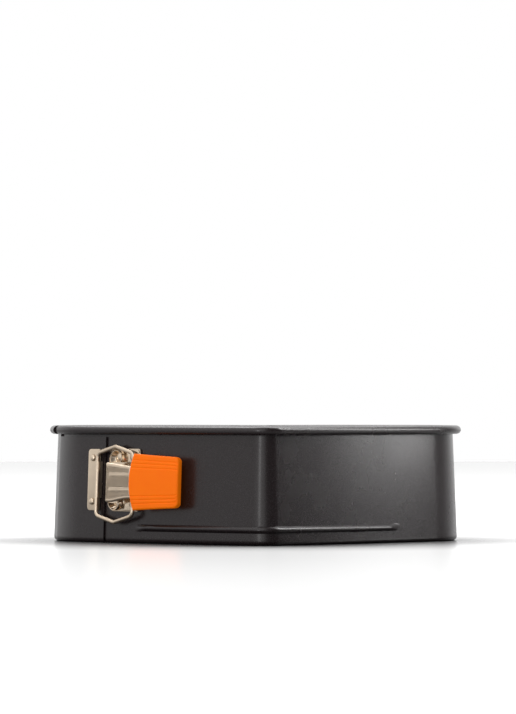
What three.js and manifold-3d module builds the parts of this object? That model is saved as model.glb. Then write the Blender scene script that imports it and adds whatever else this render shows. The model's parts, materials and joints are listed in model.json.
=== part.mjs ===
// Heart-shaped springform pan, in millimetres, +Z up.
// The origin is on the table under the middle of the pan, and the tip of the heart points to -Y.
// The ring is a thin steel band, rolled over a wire at the rim and closed by a lever clasp on its
// left side. It stands around a separate, dished base plate and lifts straight off it.
import * as THREE from 'three';
import { mergeVertices } from 'three/addons/utils/BufferGeometryUtils.js';
import Module from 'manifold-3d';

const degrees = Math.PI / 180;

// Plan of the heart: the band's outer face at half height
const halfWidth = 121.4;
const tipRadius = 11;
const sideHeadings = [43 * degrees, 49 * degrees]; // direction of the side at its lower and upper end
const lobeEndHeading = 232 * degrees;
const cleftRadius = 12;

// Band
const panHeight = 70;
const sheet = 0.8;
const lean = 0.04; // the wall spreads by this much per millimetre towards the table
const lipRadius = 2.8;
const rollHalfWidth = 2.95;
const rollHalfHeight = 2.6;
const rollEndAngle = -115 * degrees;
const rimWireRadius = 1.5;
const beadHeights = [7.2, 8.3, 10.3, 11.4];
const beadDepth = 1.6;
const beadReach = { right: 116, left: 105 }; // how far the bead runs from the tip along each side
const beadFade = 5;

// Where the band's two ends meet: the left end laps over the right one
const claspStart = 98.5; // from the tip along the left side to the bracket's right edge
const seamFromBracket = 30.2;
const lapLength = 47;
const lapShift = 1.1;
const lapJoggle = 5.8;
const lapTrim = 3.4; // height of the inner sheet's bottom edge under the lap
const lapTop = 63.4;
const flexBeforeCleft = 27.2; // from the cleft back along the left lobe to the flex line
const flexGap = 0.8;

// Base plate: section points as [offset from the plan, height]
const panelEdge = 9.6;
const trayRim = 2.1;

// Clasp, in its own frame: x along the wall to the left, y out of the wall, z up the wall
const claspHeight = 37.6;
const bracketSize = { length: 26.6, height: 37.5, thickness: 1, corner: 5.4 };
const bracketWindow = { start: 13, halfHeight: 7 };
const clearance = 0.3;
const bracketRivets = [[5, 13.8], [5, -13.8], [16.4, 13.8], [16.4, -13.8]];
const pivot = { x: 20, y: 5.3, radius: 1.2, halfLength: 9.3 };
const crank = { x: 1.9, y: 4.5 };
const holeRadius = 1.45;
const ear = { inner: 7, radius: 2.1, foot: 5.6, undercut: 0.6 }; // undercut for the swinging lever's end
const flange = { inner: 8.2, pivotRadius: 2.2, crankRadius: 2.4 };
const lever = { end: 21.4, wideHalf: 11.5, narrowHalf: 9.2, bottom: 7.7, tail: -34, tailHalf: 8 };
const leverDrop = 1.2; // the lever, its pin and the ears sit this much below the bracket's middle
const grip = { left: 0.8, right: -38.6, leftHalf: 16.85, rightHalf: 15, bottom: 5.9, top: 9.8 };
const tailTilt = 4.2 * degrees; // the grip end of the lever lies closer to the wall
const gripArc = 42; // radius of the grip's bowed left edge
const loop = { wireRadius: 1.15, length: 32.3, sideHalf: 18.6, apexHalf: 22.7, drop: 2.7, corner: 3.6 };
const loopLegHeight = 3.65;
const hook = { lip: 32, left: 43.8, halfHeight: 18.4, lipHalf: 11, lipTop: 5, thickness: 0.8 };
const hookRivets = [[39.6, 13.1], [39.6, -13.1]];

const wasm = await Module();
wasm.setup();

// Turns points and triangles into a geometry.
function meshFrom(positions, triangles) {
  const geometry = new THREE.BufferGeometry();
  geometry.setAttribute('position', new THREE.Float32BufferAttribute(positions, 3));
  geometry.setIndex(triangles);
  return geometry;
}

function toManifold(source) {
  const geometry = source.clone();
  geometry.deleteAttribute('normal');
  geometry.deleteAttribute('uv');
  const merged = mergeVertices(geometry, 1e-4);
  const vertProperties = new Float32Array(merged.attributes.position.array);
  const triVerts = new Uint32Array(merged.index.array);
  return new wasm.Manifold(new wasm.Mesh({ numProp: 3, vertProperties, triVerts }));
}

function fromManifold(body) {
  const result = body.getMesh();
  return meshFrom(Array.from(result.vertProperties), Array.from(result.triVerts));
}

function join(...geometries) {
  const [first, ...others] = geometries.map(toManifold);
  return fromManifold(others.reduce((body, other) => body.add(other), first));
}

function cut(geometry, ...tools) {
  return fromManifold(tools.map(toManifold).reduce((body, tool) => body.subtract(tool), toManifold(geometry)));
}

// The plan curve

const lobeRadius = (halfWidth + cleftRadius * Math.sin(lobeEndHeading)) / (1 - Math.sin(lobeEndHeading));
const sideRadius = (halfWidth - tipRadius * Math.sin(sideHeadings[0])
  - lobeRadius * (1 - Math.sin(sideHeadings[1]))) / (Math.sin(sideHeadings[1]) - Math.sin(sideHeadings[0]));
const planArcs = [
  { radius: tipRadius, turn: sideHeadings[0] },
  { radius: sideRadius, turn: sideHeadings[1] - sideHeadings[0] },
  { radius: lobeRadius, turn: lobeEndHeading - sideHeadings[1] },
  { radius: -cleftRadius, turn: Math.PI - lobeEndHeading },
];
const halfLength = planArcs.reduce((sum, arc) => sum + arc.radius * arc.turn, 0);
const lobeTop = tipRadius * (1 - Math.cos(sideHeadings[0]))
  + sideRadius * (Math.cos(sideHeadings[0]) - Math.cos(sideHeadings[1]))
  + lobeRadius * (Math.cos(sideHeadings[1]) + 1);
const tipY = -lobeTop / 2;

// A point of the plan and its outward normal. The distance runs from the tip: positive up the right
// side, negative up the left side. Past the cleft it goes on along the other lobe.
function planPoint(distance) {
  const wrapped = distance > halfLength ? distance - 2 * halfLength : distance;
  const side = wrapped < 0 ? -1 : 1;
  let rest = Math.abs(wrapped);
  let heading = 0;
  let x = 0;
  let y = tipY;
  for (const { radius, turn } of planArcs) {
    const used = Math.min(rest, radius * turn);
    const next = heading + used / radius;
    x += radius * (Math.sin(next) - Math.sin(heading));
    y += radius * (Math.cos(heading) - Math.cos(next));
    heading = next;
    rest -= used;
  }
  return { distance, x: side * x, y, nx: side * Math.sin(heading), ny: -Math.cos(heading) };
}

// Stations between two distances: close together on the tight arcs, at every end of an arc, and at
// the extra distances given.
function stationsBetween(from, to, extras = []) {
  const marks = [0];
  let end = 0;
  for (const { radius, turn } of planArcs) {
    const steps = Math.ceil(Math.max(Math.abs(turn) / (9.2 * degrees), (radius * turn) / 40));
    for (let i = 1; i <= steps; i += 1) {
      marks.push(end + (radius * turn * i) / steps);
    }
    end += radius * turn;
  }
  const mirrored = marks.flatMap((mark) => [mark, -mark, 2 * halfLength - mark]);
  const inside = [...mirrored, ...extras].filter((mark) => mark > from + 1 && mark < to - 1);
  const sorted = [from, ...inside, to].sort((a, b) => a - b);
  return sorted.filter((mark, i) => i === 0 || mark - sorted[i - 1] > 0.2).map(planPoint);
}

// Sweeps a section of [offset, height] points, listed anticlockwise, along stations. An open sweep
// is capped at both ends.
function sweep(sectionAt, stations, closed = false) {
  const sections = stations.map(sectionAt);
  const count = sections[0].length;
  const positions = stations.flatMap(({ x, y, nx, ny }, i) => (
    sections[i].flatMap(([offset, height]) => [x + nx * offset, y + ny * offset, height])
  ));
  const triangles = [];
  const spans = closed ? stations.length : stations.length - 1;
  for (let i = 0; i < spans; i += 1) {
    const near = i * count;
    const far = ((i + 1) % stations.length) * count;
    for (let j = 0; j < count; j += 1) {
      const k = (j + 1) % count;
      triangles.push(near + j, far + j, far + k, near + j, far + k, near + k);
    }
  }
  if (!closed) {
    const last = (stations.length - 1) * count;
    for (const [end, section] of [[0, sections[0]], [last, sections[sections.length - 1]]]) {
      const outline = section.map(([offset, height]) => new THREE.Vector2(offset, height));
      for (const [a, b, c] of THREE.ShapeUtils.triangulateShape(outline, [])) {
        triangles.push(...(end === 0 ? [a, b, c] : [end + c, end + b, end + a]));
      }
    }
  }
  return meshFrom(positions, triangles);
}

// Points on an elliptic arc, both ends included
function arcPoints(centreX, centreY, radiusX, radiusY, from, to, steps) {
  return Array.from({ length: steps + 1 }, (_, i) => {
    const angle = from + ((to - from) * i) / steps;
    return [centreX + radiusX * Math.cos(angle), centreY + radiusY * Math.sin(angle)];
  });
}

// The band

const seam = claspStart + seamFromBracket;
const lapEnd = seam + lapLength;
const flexLine = halfLength - flexBeforeCleft;
const wallOffset = (height) => lean * (panHeight / 2 - height);
const rollCentre = { offset: rollHalfWidth - sheet, height: panHeight - rollHalfHeight };
const rollStart = rollCentre.height - 2.2;

// How far the left end stands out over the right end
function lapOffset(distance) {
  if (distance > 0) return 0;
  const beyond = -distance - lapEnd - 1.2;
  return lapShift * (1 - THREE.MathUtils.clamp(beyond / lapJoggle, 0, 1));
}

function beadAmount(distance) {
  const reach = distance < 0 ? beadReach.left : beadReach.right;
  return THREE.MathUtils.clamp((reach - Math.abs(distance)) / beadFade, 0, 1);
}

// Section of the sheet: rounded lip at the table, pressed bead, and the roll around the rim wire
function bandSection(distance, shift) {
  const bead = beadAmount(distance) * beadDepth;
  const [low, lowFull, highFull, high] = beadHeights;
  const outer = [
    ...arcPoints(-lipRadius, lipRadius, lipRadius, lipRadius, -90 * degrees, 0, 3),
    [0, low], [bead, lowFull], [bead, highFull], [0, high], [0, rollStart],
    ...arcPoints(rollCentre.offset, rollCentre.height, rollHalfWidth - sheet, rollHalfHeight - sheet,
      180 * degrees, rollEndAngle, 7),
  ];
  const inner = [
    ...arcPoints(rollCentre.offset, rollCentre.height, rollHalfWidth, rollHalfHeight,
      rollEndAngle, 180 * degrees, 8),
    [-sheet, rollStart], [-sheet, high - 0.3], [bead - sheet, highFull - 0.3],
    [bead - sheet, lowFull + 0.3], [-sheet, low + 0.3],
    ...arcPoints(-lipRadius, lipRadius, lipRadius - sheet, lipRadius - sheet, 0, -90 * degrees, 3),
  ];
  return [...outer, ...inner].map(([offset, height]) => [offset + wallOffset(height) + shift, height]);
}

function boxSection(low, high, bottom, top) {
  return () => [[low, bottom], [high, bottom], [high, top], [low, top]];
}

const { right: beadRight, left: beadLeft } = beadReach;
const beadEnds = [beadRight, beadRight - beadFade, -beadLeft, beadFade - beadLeft];
const mainStations = stationsBetween(-lapEnd, 2 * halfLength - flexLine - flexGap, beadEnds);
const leftStations = stationsBetween(-flexLine, -seam, [-lapEnd - 1.2, -lapEnd - 1.2 - lapJoggle]);
const lapGap = 0.6;

// Clasp frame: x along the wall away from the tip, y straight out of the leaning wall
const claspMiddle = planPoint(-(claspStart + bracketSize.length / 2));
const claspFrame = new THREE.Group();
const outward = new THREE.Vector3(claspMiddle.nx, claspMiddle.ny, lean).normalize();
const along = new THREE.Vector3(claspMiddle.ny, -claspMiddle.nx, 0);
const upward = new THREE.Vector3().crossVectors(along, outward);
claspFrame.setRotationFromMatrix(new THREE.Matrix4().makeBasis(along, outward, upward));
claspFrame.position.set(claspMiddle.x, claspMiddle.y, claspHeight);
claspFrame.position.addScaledVector(outward, wallOffset(claspHeight));
claspFrame.position.addScaledVector(along, -bracketSize.length / 2);
claspFrame.updateMatrixWorld();

// A cylinder along the clasp's y axis
function studHole(x, z, radius) {
  return new THREE.CylinderGeometry(radius, radius, 8, 12).translate(x, 0, z);
}

function rivetHoles(places) {
  return places.map(([x, z]) => studHole(x, z, 1.5).applyMatrix4(claspFrame.matrix));
}

function bandMain() {
  const whole = sweep(({ distance }) => bandSection(distance, 0), mainStations);
  const lapStations = stationsBetween(-lapEnd - 2, -seam + 0.5);
  const underLap = sweep(boxSection(-5, 4, -1, lapTrim), lapStations);
  return cut(whole, underLap, ...rivetHoles(bracketRivets));
}

function bandLeft() {
  const whole = sweep(({ distance }) => bandSection(distance, lapOffset(distance)), leftStations);
  const rimStations = stationsBetween(-lapEnd - lapGap, -seam + 2);
  const overLap = sweep(boxSection(-3, 9, lapTop, panHeight + 1), rimStations);
  return cut(whole, overLap, ...rivetHoles(hookRivets));
}

const wireLeftStations = stationsBetween(-flexLine, -lapEnd - lapGap, [-lapEnd - 1.2 - lapJoggle]);

function rimWire(stations, shiftAt) {
  return sweep(({ distance }) => {
    const offset = rollCentre.offset + wallOffset(rollCentre.height) + shiftAt(distance);
    return arcPoints(offset, rollCentre.height, rimWireRadius, rimWireRadius, 0, 315 * degrees, 7);
  }, stations);
}

// The base plate: loops of one closed skin from the middle of its top to the middle of its underside
function basePlate() {
  const rise = 8.4;
  const loops = [
    [-panelEdge, 0.8], [-panelEdge + 2.2, rise - 0.6], [-panelEdge + 3, rise],
    [-trayRim - 1.9, rise], [-trayRim - 1.5, rise + 0.7], [-trayRim - 0.5, rise + 0.7],
    [-trayRim, rise + 0.2], [-trayRim, rise - 0.9], [-trayRim - 0.5, rise - 1.4],
    [-trayRim - 1.5, rise - 1.4], [-trayRim - 1.9, rise - 0.8], [-panelEdge + 3.4, rise - 0.8],
    [-panelEdge + 2.8, rise - 1.2], [-panelEdge + 0.6, 0],
  ];
  const stations = stationsBetween(-halfLength, halfLength).slice(1);
  const count = stations.length;
  const positions = loops.flatMap(([offset, height]) => (
    stations.flatMap(({ x, y, nx, ny }) => [x + nx * offset, y + ny * offset, height])
  ));
  const triangles = [];
  for (let i = 0; i < loops.length - 1; i += 1) {
    for (let j = 0; j < count; j += 1) {
      const k = (j + 1) % count;
      const near = i * count;
      const far = near + count;
      triangles.push(near + j, far + j, far + k, near + j, far + k, near + k);
    }
  }
  const outline = (loop) => stations.map(({ x, y, nx, ny }) => (
    new THREE.Vector2(x + nx * loops[loop][0], y + ny * loops[loop][0])
  ));
  const last = loops.length - 1;
  for (const [a, b, c] of THREE.ShapeUtils.triangulateShape(outline(0), [])) {
    triangles.push(a, b, c);
  }
  for (const [a, b, c] of THREE.ShapeUtils.triangulateShape(outline(last), [])) {
    triangles.push(last * count + c, last * count + b, last * count + a);
  }
  return meshFrom(positions, triangles);
}

// Clasp pieces, drawn in the clasp frame

// A flat plate from an outline of [x, z] points, between two heights out of the wall
function plate(outline, bottom, top) {
  const shape = new THREE.Shape(outline.map(([x, z]) => new THREE.Vector2(x, z)));
  const geometry = new THREE.ExtrudeGeometry(shape, { depth: top - bottom, bevelEnabled: false });
  return geometry.rotateX(90 * degrees).translate(0, top, 0);
}

// A cheek standing on edge from an outline of [x, y] points, between two heights up the wall
function cheek(outline, from, to) {
  const shape = new THREE.Shape(outline.map(([x, y]) => new THREE.Vector2(x, y)));
  return new THREE.ExtrudeGeometry(shape, { depth: to - from, bevelEnabled: false }).translate(0, 0, from);
}

function crossHole({ x, y }, radius, halfLength) {
  return new THREE.CylinderGeometry(radius, radius, 2 * halfLength, 16)
    .rotateX(90 * degrees).translate(x, y, 0);
}

function bracket() {
  const { length, height, thickness, corner } = bracketSize;
  const half = height / 2;
  const bottom = clearance;
  const top = bottom + thickness;
  const { start, halfHeight } = bracketWindow;
  const outline = [
    [0, -half + 1], [1, -half],
    ...arcPoints(length - corner, corner - half, corner, corner, -90 * degrees, 0, 5),
    [length, -halfHeight - leverDrop], [start, -halfHeight - leverDrop],
    [start, halfHeight - leverDrop], [length, halfHeight - leverDrop],
    ...arcPoints(length - corner, half - corner, corner, corner, 0, 90 * degrees, 5),
    [1, half], [0, half - 1],
  ];
  const { x, y } = pivot;
  const earOutline = [
    [x - ear.foot, bottom], [x - ear.undercut, bottom],
    ...arcPoints(x, y, ear.radius, ear.radius, -105 * degrees, 190 * degrees, 9),
  ];
  const ears = [ear.inner, -ear.inner - sheet].map((low) => (
    cheek(earOutline, low - leverDrop, low + sheet - leverDrop)
  ));
  const holes = bracketRivets.map(([rivetX, rivetZ]) => studHole(rivetX, rivetZ, 1.5));
  return cut(join(plate(outline, bottom, top), ...ears), crossHole(pivot, holeRadius, 11), ...holes);
}

// A dome-headed rivet along y with a flat closing head, or none when shankEnd is above its seat
function rivet([x, z], seat, headRadius, headHeight, shankEnd, tailRadius) {
  const dome = arcPoints(0, seat, headRadius, headHeight, 0, 90 * degrees, 4);
  const tail = tailRadius > 0
    ? [[0, shankEnd - 0.8], [tailRadius, shankEnd - 0.8], [tailRadius, shankEnd], [1.2, shankEnd]]
    : [[0, shankEnd], [1.2, shankEnd]];
  const profile = [...tail, [1.2, seat], ...dome.slice(0, -1), [0, seat + headHeight]];
  const geometry = new THREE.LatheGeometry(profile.map(([r, y]) => new THREE.Vector2(r, y)), 16);
  return geometry.translate(x, 0, z);
}

function leverPin() {
  const { x, y, radius, halfLength: half } = pivot;
  const profile = [
    [0, -half - 0.9], [1.8, -half - 0.9], [1.8, -half], [radius, -half],
    [radius, half], [1.8, half], [1.8, half + 0.9], [0, half + 0.9],
  ];
  return new THREE.LatheGeometry(profile.map(([r, h]) => new THREE.Vector2(r, h)), 16)
    .rotateX(90 * degrees).translate(x, y, 0);
}

// Bends what lies right of the grip's left edge towards the wall
function tilted(geometry) {
  const bendHeight = lever.bottom + sheet / 2;
  return geometry.translate(-grip.left, -bendHeight, 0).rotateZ(tailTilt)
    .translate(grip.left, bendHeight, 0);
}

function leverPlate() {
  const { end, wideHalf, narrowHalf, bottom, tail, tailHalf } = lever;
  const shoulder = grip.left - 1.5;
  const tongue = plate([
    [shoulder, -narrowHalf], [end - 4, -wideHalf], [end, -wideHalf],
    [end, wideHalf], [end - 4, wideHalf], [shoulder, narrowHalf],
  ], bottom, bottom + sheet);
  const tailPlate = tilted(plate([
    [tail, -tailHalf], [grip.left + 1, -tailHalf], [grip.left + 1, tailHalf], [tail, tailHalf],
  ], bottom, bottom + sheet));
  const cheekOutline = [
    ...arcPoints(crank.x, crank.y, flange.crankRadius, flange.crankRadius, 160 * degrees, 280 * degrees, 5),
    ...arcPoints(pivot.x, pivot.y, flange.pivotRadius, flange.pivotRadius, -80 * degrees, 20 * degrees, 5),
    [end, bottom + 0.4], [crank.x - flange.crankRadius + 0.3, bottom + 0.4],
  ];
  const low = flange.inner;
  const cheeks = [low, -low - sheet].map((from) => cheek(cheekOutline, from, from + sheet));
  return cut(
    join(tongue, tailPlate, ...cheeks),
    crossHole(pivot, holeRadius, 12),
    crossHole(crank, holeRadius, 12),
  );
}

function gripBody() {
  const { left, right, leftHalf, rightHalf, bottom, top } = grip;
  const bow = Math.asin(leftHalf / gripArc);
  const round = 3;
  const outline = [
    ...arcPoints(left - gripArc, 0, gripArc, gripArc, -bow, bow, 10),
    ...arcPoints(right + round, rightHalf - round, round, round, 90 * degrees, 180 * degrees, 4),
    ...arcPoints(right + round, round - rightHalf, round, round, 180 * degrees, 270 * degrees, 4),
  ];
  const shape = new THREE.Shape(outline.map(([x, z]) => new THREE.Vector2(x, z)));
  const edge = 0.9;
  const body = new THREE.ExtrudeGeometry(shape, {
    depth: top - bottom - 2 * edge,
    bevelThickness: edge,
    bevelSize: edge,
    bevelOffset: -edge,
    bevelSegments: 2,
  }).rotateX(90 * degrees).translate(0, top - edge, 0);
  const tailHalf = lever.tailHalf + clearance;
  const slot = plate([
    [lever.tail - clearance, -tailHalf], [left + 1, -tailHalf],
    [left + 1, tailHalf], [lever.tail - clearance, tailHalf],
  ], lever.bottom - clearance, lever.bottom + sheet + clearance);
  const mouthEnd = crank.x - flange.crankRadius - clearance;
  const mouthHalf = lever.narrowHalf + clearance;
  const mouth = plate([
    [mouthEnd, -mouthHalf], [left + 1, -mouthHalf], [left + 1, mouthHalf], [mouthEnd, mouthHalf],
  ], bottom - 1, lever.bottom + sheet + clearance);
  return tilted(cut(body, slot, mouth));
}

// Stations around a closed outline of corners, each rounded by an arc
function roundedLoop(corners, radius, steps) {
  return corners.flatMap((corner, i) => {
    const before = corners[(i + corners.length - 1) % corners.length];
    const after = corners[(i + 1) % corners.length];
    const inward = Math.atan2(corner[1] - before[1], corner[0] - before[0]);
    const outwardHeading = Math.atan2(after[1] - corner[1], after[0] - corner[0]);
    const turn = THREE.MathUtils.euclideanModulo(outwardHeading - inward, 2 * Math.PI);
    const reach = radius * Math.tan(turn / 2);
    const centreX = corner[0] - reach * Math.cos(inward) - radius * Math.sin(inward);
    const centreY = corner[1] - reach * Math.sin(inward) + radius * Math.cos(inward);
    return Array.from({ length: steps + 1 }, (_, step) => {
      const heading = inward + (turn * step) / steps;
      const nx = Math.sin(heading);
      const ny = -Math.cos(heading);
      return { x: centreX + radius * nx, y: centreY + radius * ny, nx, ny };
    });
  });
}

function wireLoop() {
  const { wireRadius, length, sideHalf, apexHalf, corner } = loop;
  const corners = [
    [0, -sideHalf], [length / 2, -apexHalf], [length, -sideHalf],
    [length, sideHalf], [length / 2, apexHalf], [0, sideHalf],
  ];
  const section = arcPoints(0, 0, wireRadius, wireRadius, 0, 324 * degrees, 9);
  return sweep(() => section, roundedLoop(corners, corner, 4), true);
}

function hookPlate() {
  const { lip, left, halfHeight, lipHalf, lipTop, thickness } = hook;
  const bottom = lapShift + clearance;
  const base = plate([
    [lip, -lipHalf], [lip + 1.6, -lipHalf], [lip + 1.6, -halfHeight],
    [left - 1.5, -halfHeight], [left, 1.5 - halfHeight], [left, halfHeight - 1.5],
    [left - 1.5, halfHeight], [lip + 1.6, halfHeight], [lip + 1.6, lipHalf], [lip, lipHalf],
  ], bottom, bottom + thickness);
  const upstand = cheek([
    [lip, bottom], [lip + thickness, bottom], [lip + thickness, lipTop], [lip, lipTop],
  ], -lipHalf, lipHalf);
  return cut(join(base, upstand), ...hookRivets.map(([x, z]) => studHole(x, z, 1.5)));
}

// Materials

const nonStick = new THREE.MeshStandardMaterial({ color: 0x3a3638, roughness: 0.42, metalness: 0.6 });
const nickel = new THREE.MeshStandardMaterial({ color: 0xb0a698, roughness: 0.32, metalness: 1 });
const rubber = new THREE.MeshStandardMaterial({ color: 0xf86f12, roughness: 0.55, metalness: 0 });
const steelWire = new THREE.MeshStandardMaterial({ color: 0x8d8d8f, roughness: 0.4, metalness: 1 });

const pan = new THREE.Group();

function add(parent, name, geometry, material) {
  const mesh = new THREE.Mesh(geometry, material);
  mesh.name = name;
  parent.add(mesh);
  return mesh;
}

add(pan, 'base_plate', basePlate(), nonStick);
add(pan, 'band_main', bandMain(), nonStick);
add(pan, 'band_left', bandLeft(), nonStick);
add(pan, 'rim_wire_main', rimWire(mainStations, () => 0), steelWire);
add(pan, 'rim_wire_left', rimWire(wireLeftStations, lapOffset), steelWire);

pan.add(claspFrame);
const bracketTop = clearance + bracketSize.thickness;
const hookTop = lapShift + clearance + hook.thickness;
add(claspFrame, 'bracket', bracket(), nickel);
bracketRivets.forEach((place, i) => {
  const geometry = rivet(place, bracketTop + 0.25, 2.75, 1.6, -sheet - 0.25, 2.4);
  add(claspFrame, `bracket_rivet_${i + 1}`, geometry, nickel);
});
add(claspFrame, 'lever_pin', leverPin().translate(0, 0, -leverDrop), nickel);
add(claspFrame, 'lever_plate', leverPlate().translate(0, 0, -leverDrop), nickel);
add(claspFrame, 'grip', gripBody().translate(0, 0, -leverDrop), rubber);
const wire = add(claspFrame, 'wire_loop', wireLoop(), nickel);
wire.position.set(crank.x, crank.y, -loop.drop);
wire.rotation.set(90 * degrees, 0, Math.atan2(loopLegHeight - crank.y, loop.length), 'ZXY');
add(claspFrame, 'hook_plate', hookPlate(), nickel);
hookRivets.forEach((place, i) => {
  add(claspFrame, `hook_rivet_${i + 1}`, rivet(place, hookTop + 0.25, 2, 1.1, 0.4, 0), nickel);
});

export default pan;
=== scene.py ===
import json
import math

import bmesh
import bpy
from mathutils import Matrix, Vector


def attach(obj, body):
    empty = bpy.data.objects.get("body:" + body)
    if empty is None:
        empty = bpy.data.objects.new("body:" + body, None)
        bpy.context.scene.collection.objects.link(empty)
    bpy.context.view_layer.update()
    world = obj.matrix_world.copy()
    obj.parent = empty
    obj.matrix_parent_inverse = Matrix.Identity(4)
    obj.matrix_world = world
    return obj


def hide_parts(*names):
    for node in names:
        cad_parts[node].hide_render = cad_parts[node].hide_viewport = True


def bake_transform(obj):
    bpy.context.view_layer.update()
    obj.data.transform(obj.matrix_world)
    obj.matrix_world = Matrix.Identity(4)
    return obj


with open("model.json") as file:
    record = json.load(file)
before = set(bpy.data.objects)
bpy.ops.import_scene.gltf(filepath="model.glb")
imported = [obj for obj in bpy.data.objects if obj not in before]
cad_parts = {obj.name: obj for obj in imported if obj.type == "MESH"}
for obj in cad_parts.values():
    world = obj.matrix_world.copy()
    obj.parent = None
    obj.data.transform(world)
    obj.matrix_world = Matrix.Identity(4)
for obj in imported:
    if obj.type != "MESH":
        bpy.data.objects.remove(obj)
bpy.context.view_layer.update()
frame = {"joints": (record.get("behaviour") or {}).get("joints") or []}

mm = 0.001
upZ = Vector((0, 0, 1))
joints = {joint["name"]: joint for joint in frame["joints"]}

# camera: level with the rim, a little to the clasp side, far back

cameraSettings = {
    "turn": 2.25,  # degrees round the pan
    "distance": 3.5,  # from the heart's tip
    "tip": -0.10434,
    "height": 0.087,
    "lens": 301.6,
    "tilt": 0.387,  # degrees above level
    "swing": 0.0676,  # degrees back towards the middle
}


def makeCamera():
    turn = math.radians(cameraSettings["turn"])
    data = bpy.data.cameras.new("camera")
    data.lens = cameraSettings["lens"]
    data.sensor_width = 36
    data.clip_end = 60
    camera = bpy.data.objects.new("camera", data)
    back = Vector((-math.sin(turn), -math.cos(turn), 0)) * cameraSettings["distance"]
    camera.location = Vector((0, cameraSettings["tip"], cameraSettings["height"])) + back
    tilt = math.radians(90 + cameraSettings["tilt"])
    camera.rotation_euler = (tilt, 0, -turn + math.radians(cameraSettings["swing"]))
    bpy.context.scene.collection.objects.link(camera)
    bpy.context.scene.camera = camera


makeCamera()
print("camera placed")

# the heart outline: arcs walked from the tip, the same on both sides

heart = {
    "halfWidth": 121.4 * mm,
    "tipRadius": 11 * mm,
    "sideStart": math.radians(43),
    "sideEnd": math.radians(49),
    "lobeEnd": math.radians(232),
    "cleftRadius": 12 * mm,
    "lean": 0.04,  # the wall spreads towards the table
    "middleHeight": 35 * mm,
    "turnPerStep": math.radians(2.6),
    "reachPerStep": 7 * mm,
}


def heartArcs():
    first, second, last = heart["sideStart"], heart["sideEnd"], heart["lobeEnd"]
    tip, cleft, half = heart["tipRadius"], heart["cleftRadius"], heart["halfWidth"]
    lobe = (half + cleft * math.sin(last)) / (1 - math.sin(last))
    sideRun = half - tip * math.sin(first) - lobe * (1 - math.sin(second))
    side = sideRun / (math.sin(second) - math.sin(first))
    rise = tip * (1 - math.cos(first)) + side * (math.cos(first) - math.cos(second))
    rise += lobe * (math.cos(second) + 1)
    return [(tip, first), (side, second - first), (lobe, last - second), (-cleft, math.pi - last)], -rise / 2


halfArcs, tipY = heartArcs()
halfLength = sum(radius * turn for radius, turn in halfArcs)


# place and outward direction at a distance from the tip, negative up the left side
def placeAt(distance):
    if distance > halfLength:
        distance -= 2 * halfLength
    side = -1 if distance < 0 else 1
    rest, heading, x, y = abs(distance), 0.0, 0.0, tipY
    for radius, turn in halfArcs:
        used = min(rest, radius * turn)
        after = heading + used / radius
        x += radius * (math.sin(after) - math.sin(heading))
        y += radius * (math.cos(heading) - math.cos(after))
        heading = after
        rest -= used
    return Vector((side * x, y, 0)), Vector((side * math.sin(heading), -math.cos(heading), 0))


def arcRadiusAt(distance):
    if distance > halfLength:
        distance -= 2 * halfLength
    rest = abs(distance)
    for radius, turn in halfArcs:
        rest -= radius * turn
        if rest < 0:
            return radius
    return halfArcs[-1][0]


def arcEnds():
    ends = [0.0]
    for radius, turn in halfArcs:
        ends.append(ends[-1] + radius * turn)
    return [end + lap for lap in (0, 2 * halfLength) for end in [-e for e in ends] + ends]


def leanAt(height):
    return heart["lean"] * (heart["middleHeight"] - height)


# spins a profile along the outline; bulge(distance, height) moves it outwards on the way
def walkOutline(bm, profile, start, end, bulge=None, marks=()):
    stops = sorted({start, end} | {d for d in [*arcEnds(), *marks] if start + mm < d < end - mm})
    last = profile
    for near, far in zip(stops, stops[1:]):
        radius = arcRadiusAt((near + far) / 2)
        place, outward = placeAt(near)
        angle = (far - near) / radius
        steps = math.ceil(max(abs(angle) / heart["turnPerStep"], (far - near) / heart["reachPerStep"]))
        centre = place - outward * radius
        done = bmesh.ops.spin(bm, geom=last, cent=centre, axis=upZ, angle=angle, steps=steps)
        last = done["geom_last"]
        if bulge:
            outward = placeAt(far)[1]
            for vert in last:
                if isinstance(vert, bmesh.types.BMVert):
                    height = vert.co.z
                    vert.co += outward * (bulge(far, height) - bulge(near, height))
    return last


# turns a vertex about a line along the outline, leaving a curved edge behind it
def curlVertex(bm, vert, station, offset, height, angle, steps):
    place, outward = station
    centre = place + outward * offset + upZ * height
    done = bmesh.ops.spin(bm, geom=[vert], cent=centre, axis=outward.cross(upZ), angle=angle, steps=steps)
    return [item for item in done["geom_last"] if isinstance(item, bmesh.types.BMVert)][0]


def runVertex(bm, vert, station, offset, height):
    place, outward = station
    grown = bmesh.ops.extrude_vert_indiv(bm, verts=[vert])["verts"][0]
    grown.co = place + outward * offset + upZ * height
    return grown


# materials

def newMaterial(name):
    material = bpy.data.materials.new(name)
    material.use_nodes = True
    nodes = material.node_tree.nodes
    return material, nodes, material.node_tree.links, nodes["Principled BSDF"]


def objectSpace(nodes, links, scale=(1, 1, 1)):
    coordinates = nodes.new("ShaderNodeTexCoord")
    mapping = nodes.new("ShaderNodeMapping")
    mapping.inputs["Scale"].default_value = scale
    links.new(coordinates.outputs["Object"], mapping.inputs["Vector"])
    return mapping.outputs["Vector"]


def noiseNode(nodes, links, space, scale, detail=3.0, roughness=0.55):
    noise = nodes.new("ShaderNodeTexNoise")
    noise.inputs["Scale"].default_value = scale
    noise.inputs["Detail"].default_value = detail
    noise.inputs["Roughness"].default_value = roughness
    links.new(space, noise.inputs["Vector"])
    return noise.outputs["Fac"]


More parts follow.
